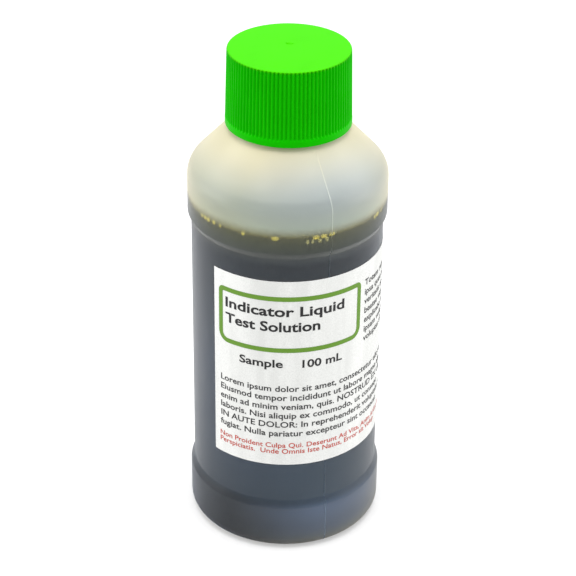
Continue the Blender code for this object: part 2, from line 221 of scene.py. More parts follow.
def naturalPolyethylene():
    # blow-moulded natural HDPE: milky, waxy and satin. What it scatters back is bluish over the dark liquid
    # and cream near the neck, partly a thicker wall and partly painted light where the light comes in from
    # above. The ramps over height also hold a painted light line at the upper step and a painted dark line at
    # the lower step, with a lighter band below it. The right side, towards the key light, is painted milkier
    # and lighter, and the left side darker and creamier: painted light and shade
    look = wallLook
    material, tree, place = newMaterial("naturalPolyethylene")
    # two ramps over height, blended by side: lighter towards the key light on the right, darker on the left
    # (painted light and shade)
    tintLit, shareLit = heightRamp(tree, place, look["milkLitRight"])
    tintShaded, shareShaded = heightRamp(tree, place, look["milkShadedLeft"])
    side = math.radians(look["keyLightSide"])
    around = addNode(tree, "ShaderNodeVectorMath", {
        "operation": "DOT_PRODUCT", 1: (math.sin(side) / bodyRadius, -math.cos(side) / bodyRadius, 0.0),
    }, {0: place})
    towardKeyLight = rangeNode(tree, around.outputs["Value"], (0.0, 1.0), look["keyLightReach"])
    tint = addNode(tree, "ShaderNodeMix", {"data_type": "RGBA"}, {0: towardKeyLight, 6: tintShaded, 7: tintLit})
    share = addNode(tree, "ShaderNodeMix", links={0: towardKeyLight, 2: shareShaded, 3: shareLit})
    cloud = noiseNode(tree, place, look["cloudSize"] * mm, 2.0)
    clouded = rangeNode(tree, cloud, look["cloudShare"], look["cloudReach"])
    milkShare = addNode(tree, "ShaderNodeMath", {
        "operation": "MULTIPLY", "use_clamp": True,
    }, {0: share.outputs[0], 1: clouded})

    def sheen(kind):
        colour, weight, roughness = look[kind]
        return {"Sheen Tint": paint(colour), "Sheen Weight": weight, "Sheen Roughness": roughness}

    clear = addNode(tree, "ShaderNodeBsdfPrincipled", {
        "Base Color": paint(look["through"]), "Roughness": look["roughness"], "IOR": look["ior"],
        "Transmission Weight": 1.0, "Specular IOR Level": look["clearGloss"], **sheen("clearSheen"),
    })
    milky = addNode(tree, "ShaderNodeBsdfPrincipled", {
        "Roughness": look["roughness"], "IOR": look["ior"], **sheen("milkySheen"),
    }, {"Base Color": tint.outputs[2]})
    wall = addNode(tree, "ShaderNodeMixShader", links={
        0: milkShare.outputs[0], 1: clear.outputs[0], 2: milky.outputs[0],
    })
    setSurface(tree, wall)
    return material


seamLook = {
    # tone over height, with a painted highlight on the shoulder and the lower bumper
    "stops": [
        (0.0, "#7a8a9e"), (10.0, "#7a8a9e"), (12.0, "#4c5a6a"), (74.0, "#48545e"), (80.5, "#767862"),
        (82.0, "#ccd2c6"), (89.0, "#d8dcd6"), (94.0, "#dad6c0"),
    ],
    "grain": 1.5, "roughness": (0.3, 0.42), "ior": 1.5,
}


def seamPolyethylene():
    # the mould's parting line: a hair of the same plastic standing proud. Its tone over height is painted:
    # lighter than the wall on the shoulder and on the lower bumper, where the bead catches the light (a
    # painted highlight), and dark over the liquid
    look = seamLook
    material, tree, place = newMaterial("seamPolyethylene")
    tint = heightRamp(tree, place, look["stops"])[0]
    rough = rangeNode(tree, noiseNode(tree, place, look["grain"] * mm, 2.0), look["roughness"])
    setSurface(tree, addNode(tree, "ShaderNodeBsdfPrincipled", {"IOR": look["ior"]}, {
        "Base Color": tint, "Roughness": rough,
    }))
    return material


capLook = {
    # the skirt's green, and the top plate painted lighter and yellower: painted light
    "toneWithLitTop": [(97.0, "#0ab800"), (113.9, "#0ab800"), (114.35, "#3ab604"), (114.5, "#3ab604")],
    "cloudSize": 5.0, "cloudReach": (0.3, 0.7), "cloudValue": (0.97, 1.03),
    "erodedGrain": 0.35, "roughness": (0.37, 0.49), "bump": (0.12, 0.03 * mm),
    "gloss": {
        "IOR": 1.49, "Specular IOR Level": 0.08, "Specular Tint": (0.3, 1.0, 0.08, 1.0),
        "Sheen Weight": 0.08, "Sheen Tint": (0.5, 1.0, 0.0, 1.0),
    },
}


def greenPolypropylene():
    # injection-moulded PP with a strong green pigment: satin. The top plate is painted lighter and yellower
    # than the ribbed skirt: painted light, where the light falls straight on to it
    look = capLook
    material, tree, place = newMaterial("greenPolypropylene")
    base = heightRamp(tree, place, look["toneWithLitTop"])[0]
    cloud = noiseNode(tree, place, look["cloudSize"] * mm, 4.0)
    value = rangeNode(tree, cloud, look["cloudValue"], look["cloudReach"])
    tint = addNode(tree, "ShaderNodeHueSaturation", links={"Value": value, "Color": base})
    grain = noiseNode(tree, place, look["erodedGrain"] * mm, 2.0)
    setSurface(tree, addNode(tree, "ShaderNodeBsdfPrincipled", look["gloss"], {
        "Base Color": tint.outputs[0], "Roughness": rangeNode(tree, grain, look["roughness"]),
        "Normal": bumpNode(tree, grain, *look["bump"]),
    }))
    return material


# the liquid's tone over height: dye colour, with painted light at the top and at the base
dyeAndLightStops = [
    (1.0, "#0a1420"), (12.0, "#0a1624"), (14.0, "#060c14"), (40.0, "#04080e"), (74.0, "#05090c"),
    (76.5, "#262e2c"), (78.5, "#3e4638"), (80.4, "#5c6144"), (81.0, "#a59a4a"),
]


def dyeSolution():
    # dyed water against the wall: near-black blue, with painted light in it: olive in the top few
    # millimetres, where light gets in from above, and a little lighter blue below the lower step, where light
    # comes in through the base
    material, tree, place = newMaterial("dyeSolution")
    setSurface(tree, addNode(tree, "ShaderNodeBsdfPrincipled", {
        "Roughness": 0.6, "Specular IOR Level": 0.0,
    }, {"Base Color": heightRamp(tree, place, dyeAndLightStops)[0]}))
    return material


def dyeSurface():
    # the free surface of the same liquid: still water over dark dye
    look = {"dark": "#0b0f10", "light": "#171a12", "swell": 12.0, "bump": (0.05, 0.3 * mm), "waterIor": 1.333}
    material, tree, place = newMaterial("dyeSurface")
    calm = noiseNode(tree, place, look["swell"] * mm, 1.0)
    setSurface(tree, addNode(tree, "ShaderNodeBsdfPrincipled", {
        "Roughness": 0.04, "IOR": look["waterIor"],
    }, {
        "Base Color": blendNode(tree, calm, look["dark"], look["light"]),
        "Normal": bumpNode(tree, calm, *look["bump"]),
    }))
    return material


def foamFilm(name, dull, bright, cover):
    # thin films and bubbles of the dye are yellow, because there is so little of it to look through
    look = {"patch": 1.2, "roughness": 0.12, "waterIor": 1.333}
    material, tree, place = newMaterial(name)
    patches = noiseNode(tree, place, look["patch"] * mm, 3.0)
    setSurface(tree, addNode(tree, "ShaderNodeBsdfPrincipled", {
        "Roughness": look["roughness"], "IOR": look["waterIor"], "Alpha": cover,
    }, {"Base Color": blendNode(tree, patches, dull, bright)}))
    return material


def coatedPaper():
    # semi-gloss coated label paper: bright white, a very fine fibre grain under the coating
    look = {
        "sheet": "#f6f7f4", "fibre": "#e6e7e4", "fibreWidth": 0.25, "stainWidth": 3.5, "stainStretch": 0.12,
        "stainReach": (0.15, 0.36), "roughness": 0.42, "ior": 1.45, "bump": (0.15, 0.02 * mm),
    }
    material, tree, place = newMaterial("coatedPaper")
    fibre = noiseNode(tree, place, look["fibreWidth"] * mm, 4.0)
    # the grain runs up the sheet, so the stain is stretched that way
    stretch = (1.0, 1.0, look["stainStretch"])
    upward = addNode(tree, "ShaderNodeMapping", {"Scale": stretch}, {"Vector": place})
    stain = noiseNode(tree, upward.outputs[0], look["stainWidth"] * mm, 3.0)
    both = addNode(tree, "ShaderNodeMath", {"operation": "MULTIPLY"}, {0: fibre, 1: stain})
    share = rangeNode(tree, both.outputs[0], (0.0, 1.0), look["stainReach"])
    setSurface(tree, addNode(tree, "ShaderNodeBsdfPrincipled", {
        "Roughness": look["roughness"], "IOR": look["ior"],
    }, {
        "Base Color": blendNode(tree, share, look["fibre"], look["sheet"]),
        "Normal": bumpNode(tree, fibre, *look["bump"]),
    }))
    return material


def printedInk(name, solid, worn):
    # offset ink on the coated sheet: even, slightly glossier than the paper, faintly mottled
    look = {"mottle": 0.4, "wornReach": (0.55, 0.8), "roughness": 0.38, "ior": 1.5}
    material, tree, place = newMaterial(name)
    mottle = noiseNode(tree, place, look["mottle"] * mm, 3.0)
    share = rangeNode(tree, mottle, (0.0, 1.0), look["wornReach"])
    setSurface(tree, addNode(tree, "ShaderNodeBsdfPrincipled", {
        "Roughness": look["roughness"], "IOR": look["ior"],
    }, {"Base Color": blendNode(tree, share, solid, worn)}))
    return material


def softPolyethylene():
    # the plug is injection-moulded LDPE: whiter and waxier than the bottle, satin
    look = {
        "dull": "#e3e6e6", "bright": "#f1f2ef", "cloud": 3.0, "bump": (0.05, 0.1 * mm),
        "skin": {"Roughness": 0.3, "IOR": 1.51, "Subsurface Weight": 0.3, "Subsurface Scale": 1.0 * mm},
    }
    material, tree, place = newMaterial("softPolyethylene")
    cloud = noiseNode(tree, place, look["cloud"] * mm, 3.0)
    setSurface(tree, addNode(tree, "ShaderNodeBsdfPrincipled", look["skin"], {
        "Base Color": blendNode(tree, cloud, look["dull"], look["bright"]),
        "Normal": bumpNode(tree, cloud, *look["bump"]),
    }))
    return material


def foamedPolyethylene():
    # foamed sheet liner: matt white with the cells of the foam just showing
    look = {"middle": "#f4f4f0", "rim": "#dededa", "cell": 0.35, "bump": (0.3, 0.05 * mm), "roughness": 0.75}
    material, tree, place = newMaterial("foamedPolyethylene")
    voronoi = addNode(tree, "ShaderNodeTexVoronoi", {"Scale": 1 / (look["cell"] * mm)}, {"Vector": place})
    cells = voronoi.outputs["Distance"]
    setSurface(tree, addNode(tree, "ShaderNodeBsdfPrincipled", {"Roughness": look["roughness"]}, {
        "Base Color": blendNode(tree, cells, look["middle"], look["rim"]),
        "Normal": bumpNode(tree, cells, *look["bump"]),
    }))
    return material


threadSet = {"pitch": 3.175, "sink": 0.2, "stepsPerTurn": 96, "fadeTurns": 0.22}


def threadRidge(wallRadius, crestRadius, rootWidth, crestWidth, startHeight, turns):
    # a trapezium carried round a helix, its ends fading into the wall
    pitch = threadSet["pitch"] * mm
    sink = threadSet["sink"] * mm
    outward = 1 if crestRadius > wallRadius else -1
    rootRadius = wallRadius - outward * sink
    steps = round(threadSet["stepsPerTurn"] * turns)
    bm = bmesh.new()
    corners = [
        (rootRadius, -rootWidth / 2), (crestRadius, -crestWidth / 2),
        (crestRadius, crestWidth / 2), (rootRadius, rootWidth / 2),
    ]
    face = bm.faces.new([bm.verts.new((r, 0.0, startHeight + z)) for r, z in corners])
    bmesh.ops.spin(
        bm, geom=[face, *face.edges, *face.verts], cent=(0, 0, 0), axis=(0, 0, 1),
        dvec=(0, 0, pitch * turns / steps), angle=2 * math.pi * turns, steps=steps,
    )
    buried = wallRadius - outward * sink / 2
    for vert in bm.verts:
        radius = math.hypot(vert.co.x, vert.co.y)
        if abs(radius - crestRadius) > abs(radius - rootRadius):
            continue
        partTurn = math.atan2(vert.co.y, vert.co.x) / (2 * math.pi)
        turn = partTurn + round((vert.co.z - startHeight) / pitch - partTurn)
        share = min(1.0, max(0.0, min(turn, turns - turn) / threadSet["fadeTurns"]))
        newRadius = buried + (crestRadius - buried) * math.sin(share * math.pi / 2)
        vert.co.x *= newRadius / radius
        vert.co.y *= newRadius / radius
    bmesh.ops.recalc_face_normals(bm, faces=bm.faces[:])
    return bm


bottleSet = {
    "wall": 1.1, "panelDepth": 0.8, "panelBottom": 12.2, "panelTop": 75.5,
    "shoulderStart": 85.3, "shoulderBend": 5.1, "shoulderLean": 43.0,
    "upperStep": 1.4, "upperOuterBend": 1.2, "upperInnerBend": 0.5,
    "lowerStep": 1.9, "lowerInnerBend": 0.9, "lowerOuterBend": 1.3,
    "heelBend": 2.8, "ringWidth": 3.6, "ringBend": 0.8,
    "pushUp": 1.8, "pushUpBend": 2.5, "pushUpCorner": (0.85, 0.62),
    "neckRadius": 10.8, "neckWall": 2.0, "neckFillet": 2.2, "boreFillet": 1.2,
    "lipBend": 0.4, "boreLipBend": 0.3,
    "threadDepth": 1.1, "threadRoot": 1.9, "threadCrest": 0.8, "threadTurns": 1.5, "threadDrop": 2.9,
    "steps": 180, "seamAngles": (25.5, 205.5), "seamWidth": 0.055, "seamEndRadius": 13.2,
    "seamArcStep": 6.0, "seamHeelPoints": 5,
}


def bottleCorners(inset):
    # corners of the body from the shoulder cone to the middle of the base
    s = {k: v * mm for k, v in bottleSet.items() if isinstance(v, float)}
    lean = math.radians(bottleSet["shoulderLean"])
    outer = bodyRadius - inset
    panel = bodyRadius - s["panelDepth"] - inset
    ringOut = bodyRadius - s["heelBend"] - s["ringWidth"]
    bend = s["shoulderBend"] - inset
    cornerHeight = s["shoulderStart"] + bend * math.tan(lean / 2)
    across, upward = bottleSet["pushUpCorner"]
    return [
        (outer, cornerHeight, bend),
        (outer, s["panelTop"] + s["upperStep"], s["upperOuterBend"]),
        (panel, s["panelTop"], s["upperInnerBend"]),
        (panel, s["panelBottom"] + s["lowerStep"] / 2, s["lowerInnerBend"]),
        (outer, s["panelBottom"] - s["lowerStep"] / 2, s["lowerOuterBend"]),
        (outer, inset, s["heelBend"] - inset),
        (ringOut, inset, s["ringBend"]),
        (ringOut * across, inset + s["pushUp"] * upward, s["pushUpBend"]),
        (0.0, inset + s["pushUp"], 0.0),
    ]


def conePoint(radius, inset):
    # height of the shoulder cone at a radius
    lean = math.radians(bottleSet["shoulderLean"])
    corner = bottleCorners(inset)[0]
    return corner[1] + (corner[0] - radius) / math.tan(lean)


def makeSeam(name, degrees, path, material):
    # a fine bead, drawn as a thick curve and kept as its mesh
    curve = bpy.data.curves.new("seamCurve", "CURVE")
    curve.dimensions = "3D"
    curve.bevel_depth = bottleSet["seamWidth"] * mm
    curve.bevel_resolution = 2
    curve.use_fill_caps = True
    spline = curve.splines.new("POLY")
    spline.points.add(len(path) - 1)
    turn = math.radians(degrees)
    for point, spot in zip(spline.points, path):
        point.co = (spot.x * math.sin(turn), -spot.x * math.cos(turn), spot.y, 1.0)
    holder = bpy.data.objects.new("seamCurve", curve)
    scene.collection.objects.link(holder)
    bpy.context.view_layer.update()
    bm = bmesh.new()
    bm.from_mesh(holder.to_mesh())
    bpy.data.objects.remove(holder)
    bmesh.ops.remove_doubles(bm, verts=bm.verts[:], dist=weldReach)
    addPiece(bm, name, material, "bottle", sharpAngle=60)


def makeBottle(material, seam):
    s = {k: v * mm for k, v in bottleSet.items() if isinstance(v, float)}
    neck = s["neckRadius"]
    bore = neck - s["neckWall"]
    wall = s["wall"]
    outside = [(neck, lipHeight, s["lipBend"]), (neck, conePoint(neck, 0.0), s["neckFillet"])]
    outside += bottleCorners(0.0)
    inside = [(bore, lipHeight, s["boreLipBend"]), (bore, conePoint(bore, wall), s["boreFillet"])]
    inside += bottleCorners(wall)
    bm = spinOutline(roundedOutline(inside[::-1] + outside), bottleSet["steps"])
    shell = addPiece(bm, "bottleShell", material, "bottle", ["bottle"])
    turns = bottleSet["threadTurns"]
    start = lipHeight - s["threadDrop"] - turns * threadSet["pitch"] * mm
    ridge = threadRidge(neck, neck + s["threadDepth"], s["threadRoot"], s["threadCrest"], start, turns)
    addPiece(ridge, "neckThread", material, "bottle")
    # the parting lines run up both sides, from part way round the heel to the shoulder
    high = s["seamEndRadius"]
    corners = [(high, conePoint(high, 0.0), 0.0), *bottleCorners(0.0)[:7]]
    path = roundedOutline(corners, arcStep=bottleSet["seamArcStep"])[:-bottleSet["seamHeelPoints"]]
    for number, degrees in enumerate(bottleSet["seamAngles"]):
        makeSeam(f"partingLine{number + 1}", degrees, path, seam)
    print("bottle done,", len(shell.data.polygons), "faces")


liquidSet = {
    "gap": -0.06, "meniscus": 0.9, "meniscusReach": 2.2, "meniscusSteps": 8, "steps": 180,
    "filmHeight": 0.45, "filmDrop": 0.6, "filmOut": 0.01, "filmFoot": 0.12, "filmHead": 0.05,
    # dull colour, bright colour, how much it covers
    "films": {
        "wettedFilm": ("#6a6a2c", "#8d8a3a", 0.75),
        "foamBubble": ("#fff238", "#fffcb0", 1.0),
        "foamSpeck": ("#c6c88e", "#e0e2b4", 1.0),
    },
    # bubbles of foam: degrees round from the front, drop below the line, width
    "froth": [(-25.2, 0.2, 0.9), (-6.6, 0.3, 1.9), (16.2, 0.3, 1.6), (20.8, 0.25, 1.6), (25.6, 0.1, 1.5)],
    "specks": [(11.4, 1.2, 0.8), (14.2, 1.2, 0.7), (18.4, 1.15, 0.9), (22.6, 1.1, 0.9)],
    # scattered foam further round: degrees, and how many bubbles
    "clusters": ((-52, 4), (-40, 2), (62, 4), (118, 5), (165, 6), (205, 3), (250, 5)),
    "clusterSpread": 6, "clusterDrop": 0.5, "clusterWidth": (0.5, 1.2),
    "bubbleDepth": 0.22, "bubbleHalfDepth": 0.2, "bubbleHalfHeight": 0.56,
}


def makeFoam(name, lumps, material):
    # bubbles are pressed flat, and sit in the wall's outer half so that they aren't blurred away
    lumpRadius = bodyRadius - liquidSet["bubbleDepth"] * mm
    bm = bmesh.new()
    for degrees, drop, width in lumps:
        turn = math.radians(degrees)
        spot = Vector((lumpRadius * math.sin(turn), -lumpRadius * math.cos(turn), fillHeight - drop * mm))
        half = (width / 2, liquidSet["bubbleHalfDepth"], liquidSet["bubbleHalfHeight"])
        shape = Matrix.Diagonal((*(v * mm for v in half), 1))
        place = Matrix.Translation(spot) @ Matrix.Rotation(turn, 4, "Z") @ shape
        bmesh.ops.create_icosphere(bm, subdivisions=2, radius=1.0, matrix=place)
    addPiece(bm, name, material, "bottle", sharpAngle=180)


def makeSolution(body, top, film, bubble, fine):
    s = {k: v * mm for k, v in liquidSet.items() if isinstance(v, float)}
    inset = bottleSet["wall"] * mm + s["gap"]
    wallRadius = bodyRadius - inset
    rise, reach = s["meniscus"], s["meniscusReach"]
    level = fillHeight - rise
    shares = [i / liquidSet["meniscusSteps"] for i in range(liquidSet["meniscusSteps"] + 1)]
    surface = [Vector((wallRadius - reach * (1 - share), level + rise * share ** 3)) for share in shares]
    side = roundedOutline([(wallRadius, fillHeight, 0.0)] + bottleCorners(inset)[1:])
    bm = spinOutline([Vector((0.0, level))] + surface + side[1:], liquidSet["steps"])
    for face in bm.faces:
        faceUp = face.normal.z > 0.3 and face.calc_center_median().z > level - 0.1 * mm
        face.material_index = 1 if faceUp else 0
    addPiece(bm, "solutionBody", [body, top], "bottle", ["solution"])
    # the wetted edge: a thin ring of film just above and below the surface's edge
    filmRadius = wallRadius + s["filmOut"]
    filmTop = fillHeight + s["filmHeight"]
    filmBottom = fillHeight - s["filmHeight"] * liquidSet["filmDrop"]
    ring = [
        (filmRadius, filmTop), (filmRadius, filmBottom),
        (filmRadius - s["filmFoot"], filmBottom), (filmRadius - s["filmHead"], filmTop),
    ]
    bm = spinOutline([Vector(corner) for corner in ring], liquidSet["steps"], closed=True)
    addPiece(bm, "wettedEdge", film, "bottle")
    froth = list(liquidSet["froth"])
    wide = liquidSet["clusterSpread"]
    for centre, count in liquidSet["clusters"]:
        for _ in range(count):
            degrees = centre + random.uniform(-wide, wide)
            drop = random.uniform(0, liquidSet["clusterDrop"])
            froth.append((degrees, drop, random.uniform(*liquidSet["clusterWidth"])))
    makeFoam("foamBubbles", froth, bubble)
    makeFoam("foamSpecks", liquidSet["specks"], fine)
    print("solution done")


labelSet = {
    "width": 90.0, "startAngle": -47.3, "skew": 0.3, "steps": 150,
    "thickness": 0.09, "lift": 0.03, "inkLift": 0.035,
    "frame": {
        "left": -16.0, "right": 18.2, "top": 66.3, "bottom": 52.4, "bar": 1.12,
        "upperBend": 1.3, "lowerBend": 2.6, "leastBend": 0.3,
    },
    "frameArcStep": 12.0, "frameLongEdge": 3.0, "frameCuts": 24,
}


def panelRadius():
    return bodyRadius - bottleSet["panelDepth"] * mm


def makeLabel(paper):
    inner = panelRadius() + labelSet["lift"] * mm
    outer = inner + labelSet["thickness"] * mm
    low, high = labelLow.z, labelHigh.z
    sweep = labelSet["width"] * mm / outer
    section = [Vector((inner, low)), Vector((inner, high)), Vector((outer, high)), Vector((outer, low))]
    bm = bmesh.new()
    face = bm.faces.new([bm.verts.new((p.x, 0.0, p.y)) for p in section])
    bmesh.ops.spin(
        bm, geom=[face, *face.edges, *face.verts], cent=(0, 0, 0), axis=(0, 0, 1),
        angle=sweep, steps=labelSet["steps"],
    )
    bmesh.ops.recalc_face_normals(bm, faces=bm.faces[:])
    turn = Matrix.Rotation(math.radians(labelSet["startAngle"] - 90), 3, "Z")
    bmesh.ops.rotate(bm, verts=bm.verts[:], cent=(0, 0, 0), matrix=turn)
    # the sheet went on a third of a degree off square. The angle is counted on from just before its
    # first edge, so that it doesn't jump at the back
    first = math.radians(labelSet["startAngle"]) - 0.1
    lean = math.tan(math.radians(labelSet["skew"]))
    for vert in bm.verts:
        angle = (math.atan2(vert.co.x, -vert.co.y) - first) % (2 * math.pi) + first
        vert.co.z += angle * outer * lean
    addPiece(bm, "labelSheet", paper, "bottle", ["label"])


def wrapOnLabel(bm, name, ink):
    # flat artwork, x along the wrap and y up, is bent on to the sheet's face
    radius = panelRadius() + (labelSet["lift"] + labelSet["thickness"] + labelSet["inkLift"]) * mm
    lean = math.tan(math.radians(labelSet["skew"]))
    for vert in bm.verts:
        vert.co = wrapPoint(vert.co.x, vert.co.y + vert.co.x * lean, radius)
    addPiece(bm, name, ink, "bottle", sharpAngle=60)


def makeFrame(ink):
    s = {k: v * mm for k, v in labelSet["frame"].items()}

    def ring(shrink):
        upper = max(s["upperBend"] - shrink, s["leastBend"])
        lower = max(s["lowerBend"] - shrink, s["leastBend"])
        left, right = s["left"] + shrink, s["right"] - shrink
        high, low = s["top"] - shrink, s["bottom"] + shrink
        corners = [(left, high, upper), (right, high, upper), (right, low, lower), (left, low, lower)]
        return roundedOutline(corners, closed=True, arcStep=labelSet["frameArcStep"])

    bm = bmesh.new()
    loops = []
    for shrink in (0.0, s["bar"]):
        verts = [bm.verts.new((p.x, p.y, 0.0)) for p in ring(shrink)]
        loops += [bm.edges.new(pair) for pair in zip(verts, verts[1:] + verts[:1])]
    bmesh.ops.bridge_loops(bm, edges=loops)
    # long bars are divided so that they bend with the wall
    longEdges = [e for e in bm.edges if e.calc_length() > labelSet["frameLongEdge"] * mm]
    bmesh.ops.subdivide_edges(bm, edges=longEdges, cuts=labelSet["frameCuts"])
    for face in bm.faces:
        if face.normal.z < 0:
            face.normal_flip()
    wrapOnLabel(bm, "labelFrame", ink)


printSet = {
    "capShare": 0.73,  # a capital's height as a share of the built-in typeface's size
    # solid colour, worn colour
    "inks": {
        "greenInk": ("#629218", "#6c9a2a"), "blackInk": ("#060608", "#18181a"),
        "greyInk": ("#1e1e20", "#444446"), "redInk": ("#c8402f", "#d8685a"),
    },
    # height of a capital, how far the outline is swollen, line pitch and stretch
    "styles": {
        "heading": {"ink": "blackInk", "height": 2.45, "weight": 0.08},
        "note": {"ink": "blackInk", "height": 2.0, "weight": 0.06},
        "small": {"ink": "greyInk", "height": 1.55, "weight": 0.032, "pitch": 2.35, "stretch": 1.12},
        "red": {"ink": "redInk", "height": 1.3, "weight": 0.022, "pitch": 1.6, "stretch": 1.1},
    },
    # style, left edge, first baseline, width if it is set, and the lines
    "words": {
        "titleUpper": ("heading", -14.1, 61.5, 27.4, ["Indicator Liquid"]),
        "titleLower": ("heading", -14.1, 57.7, 21.6, ["Test Solution"]),
        "labelNote": ("note", -10.5, 48.6, 9.9, ["Sample"]),
        "labelVolume": ("note", 3.65, 48.5, 9.4, ["100 mL"]),
        "smallPrint": ("small", -15.7, 42.4, None, [
            "Lorem ipsum dolor sit amet, consectetur elit sed",
            "Eiusmod tempor incididunt ut labore magna aliq",
            "enim ad minim veniam, quis. NOSTRUD EX ULL", "laboris. Nisi aliquip ex commodo, ut consequ",
            "IN AUTE DOLOR: In reprehenderit voluptate vel", "fugiat. Nulla pariatur excepteur sint occaecat",
        ]),
        "sidePrint": ("small", 19.6, 64.4, None, [
            "Totam rem aperiam eaque", "ipsa quae ab illo inven", "veritatis et quasi archi",
            "beatae vitae dicta sunt", "explicabo nemo enim", "ipsam voluptatem quia",
            "voluptas sit aspernatur",
        ]),
        "redPrint": ("red", -15.8, 27.6, None, [
            "Non Proident Culpa Qui. Deserunt Ad Vita, Anim id Est Labo",
            "Perspiciatis.  Unde Omnis Iste Natus, Error sit Volup",
        ]),
    },
}


def printWords(name, inks, kind, left, baseline, width, lines):
    # each paragraph is text made a mesh, laid flat at its place on the sheet and then wrapped
    style = printSet["styles"][kind]
    curve = bpy.data.curves.new("words", "FONT")
    curve.body = "\n".join(lines)
    curve.size = style["height"] * mm / printSet["capShare"]
    curve.space_line = style["pitch"] * mm / curve.size if "pitch" in style else 1.0
    curve.offset = style["weight"] * mm
    curve.resolution_u = 3
    holder = bpy.data.objects.new("words", curve)
    scene.collection.objects.link(holder)
    graph = bpy.context.evaluated_depsgraph_get()
    bm = bmesh.new()
    bm.from_mesh(holder.evaluated_get(graph).to_mesh())
    bpy.data.objects.remove(holder)
    bmesh.ops.remove_doubles(bm, verts=bm.verts[:], dist=weldReach / 10)
    spread = [v.co.x for v in bm.verts]
    shift = min(spread)
    scale = width * mm / (max(spread) - shift) if width else style.get("stretch", 1.0)
    for vert in bm.verts:
        vert.co = Vector((left * mm + (vert.co.x - shift) * scale, baseline * mm + vert.co.y, 0.0))
    wrapOnLabel(bm, name, inks[style["ink"]])


def makePrint(inks):
    makeFrame(inks["greenInk"])
    for name, words in printSet["words"].items():
        printWords(name, inks, *words)
    print("label and print done")


capSet = {
    "taper": 0.38, "edgeBend": 0.38, "crownRing": 4.0,
    "bandHeight": 1.35, "bandProud": 0.05, "bandLap": 0.04, "bandSlope": 0.3, "bandBend": 0.15,
    "ribs": 96, "columnsPerRib": 8, "ribDepth": 0.4,
    "ribTopMargin": 0.02, "ribTopFade": 0.4, "ribFootFade": 0.6,
    # rows of the skirt: down from the top, and then up from the band
    "rowDrops": (1.5, 2.0, 4.0, 7.0, 10.0, 12.5), "rowGaps": (0.6, 0.4, 0.28, 0.18, 0.08),
    "topThickness": 1.3, "boreRadius": 12.3, "boreBend": 0.2, "roofBend": 0.3,
    "leadIn": 0.4, "leadInDepth": 1.5,
    "threadClear": 0.25, "threadRoot": 1.6, "threadCrest": 0.5, "threadTurns": 1.25, "threadLag": 0.5,
    "gateReach": 2.0, "gateWidth": 1.7, "gateDepth": 0.9, "gateHeight": 0.2,
    "gateGrain": 0.35, "gateTear": (0.3, -0.35, 0.8),
}


def softStep(value):
    value = min(1.0, max(0.0, value))
    return value * value * (3 - 2 * value)


def capOutline(s, head, foot):
    # from the middle of the top, down the skirt and round the band into the bore
    band = capHigh.x
    top, bottom = capHigh.z, capLow.z
    ribFoot = bottom + s["bandHeight"]
    crown = roundedOutline([
        (0.0, top, 0), (s["crownRing"], top, 0),
        (head, top, s["edgeBend"]), (head, top - 2 * s["edgeBend"], 0),
    ])
    # rows are close together where the grooves run out, and far apart between
    drops = [*capSet["rowDrops"], *((top - ribFoot) / mm - gap for gap in capSet["rowGaps"])]
    skirt = [Vector((head + (foot - head) * drop * mm / (top - ribFoot), top - drop * mm)) for drop in drops]
    bore = s["boreRadius"]
    mouth = bore + s["leadIn"]
    leadTop = bottom + s["leadInDepth"]
    roof = top - s["topThickness"]
    lower = roundedOutline([
        (foot, ribFoot + s["bandLap"], 0), (band, ribFoot - s["bandSlope"], 0), (band, bottom, s["bandBend"]),
        (mouth, bottom, s["bandBend"]), (mouth, leadTop - s["leadIn"], s["boreBend"]),
        (bore, leadTop, s["boreBend"]), (bore, roof, s["roofBend"]), (0.0, roof, 0),
    ])
    return crown + skirt + lower


